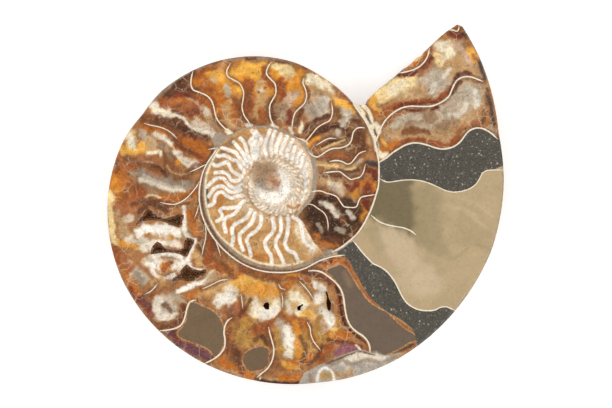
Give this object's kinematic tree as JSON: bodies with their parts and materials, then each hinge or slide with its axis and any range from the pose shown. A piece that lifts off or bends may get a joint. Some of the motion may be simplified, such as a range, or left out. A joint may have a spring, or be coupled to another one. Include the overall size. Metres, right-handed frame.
{
  "type": "fossil ammonite section",
  "caption": "Polished half of a coiled fossil ammonite lying on its back, cut face up, with crystal-lined hollows, a broken last whorl and a ribbed back with an umbilicus.",
  "frame": {"origin": "centre of the bounding box in plan, on the surface that the worn flat of the back rests on", "axes": "+Z out of the polished face, +X across its widest extent, towards the rounded edge of the last whorl; the broken tip points towards +X and +Y"},
  "size_m": [0.1206, 0.1094, 0.013],
  "materials": {
    "fossil_stone": "polished on the cut face, natural shell on the back",
    "calcite_crystals": "glassy crystal faces"
  },
  "bodies": {
    "root": {"ammonite": "fossil_stone", "upper_hollow_crystals": "calcite_crystals", "middle_hollow_crystals": "calcite_crystals", "lower_hollow_crystals": "calcite_crystals"}
  },
  "joints": []
}
